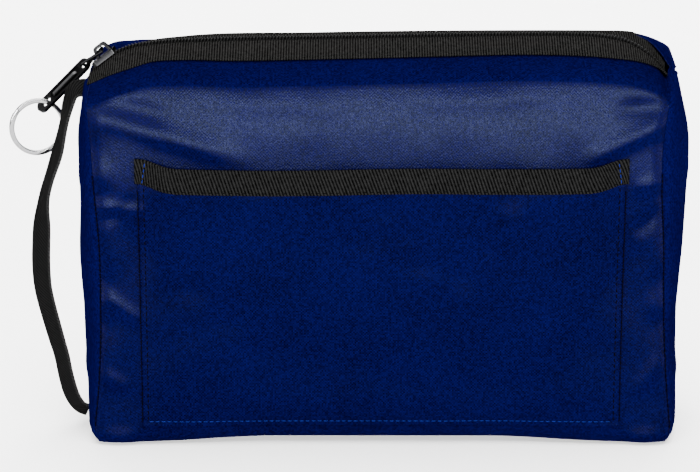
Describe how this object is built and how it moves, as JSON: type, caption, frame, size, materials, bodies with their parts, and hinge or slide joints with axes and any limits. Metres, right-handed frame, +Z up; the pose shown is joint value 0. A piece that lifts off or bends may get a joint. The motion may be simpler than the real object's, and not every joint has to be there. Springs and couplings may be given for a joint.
{
  "type": "zipped travel document pouch",
  "caption": "Soft box-shaped zip pouch with a front slip pocket, a coil zipper with pull tab and split ring, and a webbing wrist strap on one side.",
  "frame": {"origin": "centre of the pouch's flat base, on the surface it stands on", "axes": "+X right along the zipper towards its end, +Y to the rear, +Z up; the slip pocket faces -Y"},
  "size_m": [0.2714, 0.0726, 0.1614],
  "materials": {
    "navy_cloth": "navy plain-weave polyester with a soft sheen from its inside coating",
    "black_binding": "black twill-woven binding tape, matt",
    "seam_tape": "thin black seam binding, matt",
    "zip_tape": "black woven polyester zipper tape, ribbed across, matt",
    "zip_coil": "black nylon coil, satin",
    "slider_metal": "black gunmetal plating over a zinc casting, glossy with bright worn edges",
    "tab_metal": "black gunmetal plating with a grey brushed recess",
    "ring_steel": "bright nickel-plated spring steel",
    "webbing": "black narrow polypropylene webbing, twill ribbed, matt",
    "navy_thread": "navy sewing thread"
  },
  "bodies": {
    "pouch": {"main_panel": "navy_cloth", "gusset_left": "navy_cloth", "gusset_right": "navy_cloth", "pocket_panel": "navy_cloth", "pocket_binding": "black_binding", "seam_tape_left": "seam_tape", "seam_tape_right": "seam_tape", "zip_tape_front": "zip_tape", "zip_tape_rear": "zip_tape", "zip_coil_front": "zip_coil", "zip_coil_rear": "zip_coil", "strap_end_top": "webbing", "strap_end_bottom": "webbing"},
    "slider": {"slider_body": "slider_metal"},
    "link": {"pull_link": "slider_metal"},
    "tab": {"pull_tab": "tab_metal"},
    "ring": {"split_ring": "ring_steel"},
    "strap": {"wrist_strap": "webbing"}
  },
  "joints": [
    {"name": "slider_travel", "type": "hinge", "parent": "pouch", "child": "slider", "pos_m": [0.00483, 0, -0.20279], "axis": [0, 1, 0], "range_deg": [0, 30], "deforming": ["zip_tape_front", "zip_tape_rear", "zip_coil_front", "zip_coil_rear"]},
    {"name": "link_swing", "type": "hinge", "parent": "slider", "child": "link", "pos_m": [-0.1117, 0, 0.15429], "axis": [0, 1, 0], "range_deg": [0, 174]},
    {"name": "tab_swing", "type": "hinge", "parent": "link", "child": "tab", "pos_m": [-0.11884, 0, 0.14819], "axis": [0.3247, 0.866, -0.3802], "range_deg": [0, 45]},
    {"name": "ring_swing", "type": "hinge", "parent": "tab", "child": "ring", "pos_m": [-0.1341, 0, 0.13304], "axis": [0.8479, 0.342, -0.4051], "range_deg": [-4, 22]},
    {"name": "strap_swing", "type": "hinge", "parent": "pouch", "child": "strap", "pos_m": [-0.1229, -0.0085, 0.07], "axis": [0, 0, 1], "range_deg": [0, 60], "stiffness_Nm_per_rad": 0.002, "deforming": ["wrist_strap"]}
  ],
  "couplings": [
    {"joint": "link_swing", "follows": "slider_travel", "ratio": 5.8}
  ]
}
